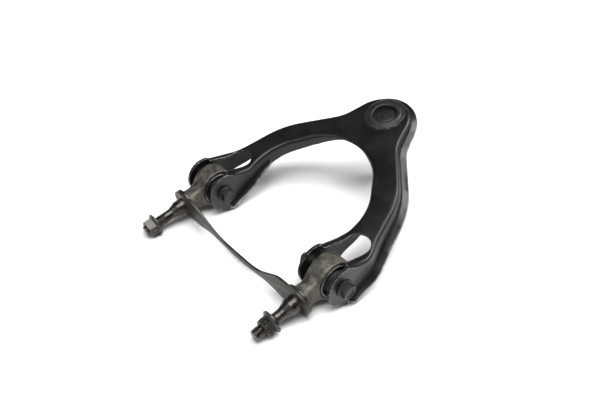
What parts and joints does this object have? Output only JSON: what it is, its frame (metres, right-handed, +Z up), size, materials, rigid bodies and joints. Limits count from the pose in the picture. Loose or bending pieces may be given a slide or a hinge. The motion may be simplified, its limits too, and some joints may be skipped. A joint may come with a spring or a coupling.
{
  "type": "suspension control arm",
  "caption": "Pressed-steel wishbone upper control arm with rubber-bushed anchor studs, spacer strap and ball joint.",
  "frame": {"origin": "midway between the two anchor studs, on the seat face of the spacer strap", "axes": "+Z up as the part lies on a floor, +X from the anchor studs to the ball joint, +Y along the pivot axis"},
  "size_m": [0.2929, 0.2535, 0.1007],
  "materials": {
    "black_coat": "semi-gloss",
    "cap_coat": "satin",
    "cap_plug": "satin",
    "forged_steel": "matte",
    "strap_steel": "satin",
    "nut_steel": "satin",
    "phosphated": "satin",
    "sleeve_steel": "satin",
    "bright_steel": "satin",
    "spring_steel": "satin",
    "seat_plastic": "matte",
    "rubber": "matte"
  },
  "bodies": {
    "bracket": {"spacer_strap": "strap_steel", "front_anchor": "forged_steel", "front_bush_outer_sleeve": "sleeve_steel", "front_bush_rubber": "rubber", "front_tower_nut": "nut_steel", "rear_anchor": "forged_steel", "rear_bush_outer_sleeve": "sleeve_steel", "rear_bush_rubber": "rubber", "rear_tower_nut": "nut_steel"},
    "arm": {"arm_pressing": "black_coat", "ball_joint_housing": "black_coat", "ball_joint_cap": "cap_coat", "ball_joint_plug": "cap_plug", "preload_washer": "spring_steel", "upper_bearing_seat": "seat_plastic", "lower_bearing_seat": "seat_plastic", "boot_large_ring": "spring_steel", "front_bush_inner_sleeve": "sleeve_steel", "front_pivot_bolt": "phosphated", "front_pivot_nut": "phosphated", "rear_bush_inner_sleeve": "sleeve_steel", "rear_pivot_bolt": "phosphated", "rear_pivot_nut": "phosphated"},
    "boot": {"dust_boot": "rubber"},
    "boot_collar": {"boot_small_ring": "spring_steel"},
    "stud": {"ball_stud": "bright_steel"}
  },
  "joints": [
    {"name": "arm_pivot", "type": "hinge", "parent": "bracket", "child": "arm", "pos_m": [0.04022, 0, 0.00796], "axis": [0, 1, 0], "range_deg": [-25, 25], "stiffness_Nm_per_rad": 115},
    {"name": "stud_swing_fore_aft", "type": "hinge", "parent": "arm", "child": "boot", "pos_m": [0.21371, 0, 0.05932], "axis": [0, 1, 0], "range_deg": [-18, 18], "deforming": ["dust_boot"]},
    {"name": "stud_swing_side", "type": "hinge", "parent": "boot", "child": "boot_collar", "pos_m": [0.21371, 0, 0.05932], "axis": [0.9588, 0, 0.284], "range_deg": [-18, 18]},
    {"name": "stud_spin", "type": "hinge", "parent": "boot_collar", "child": "stud", "pos_m": [0.21371, 0, 0.05932], "axis": [-0.284, 0, 0.9588], "continuous": true}
  ]
}
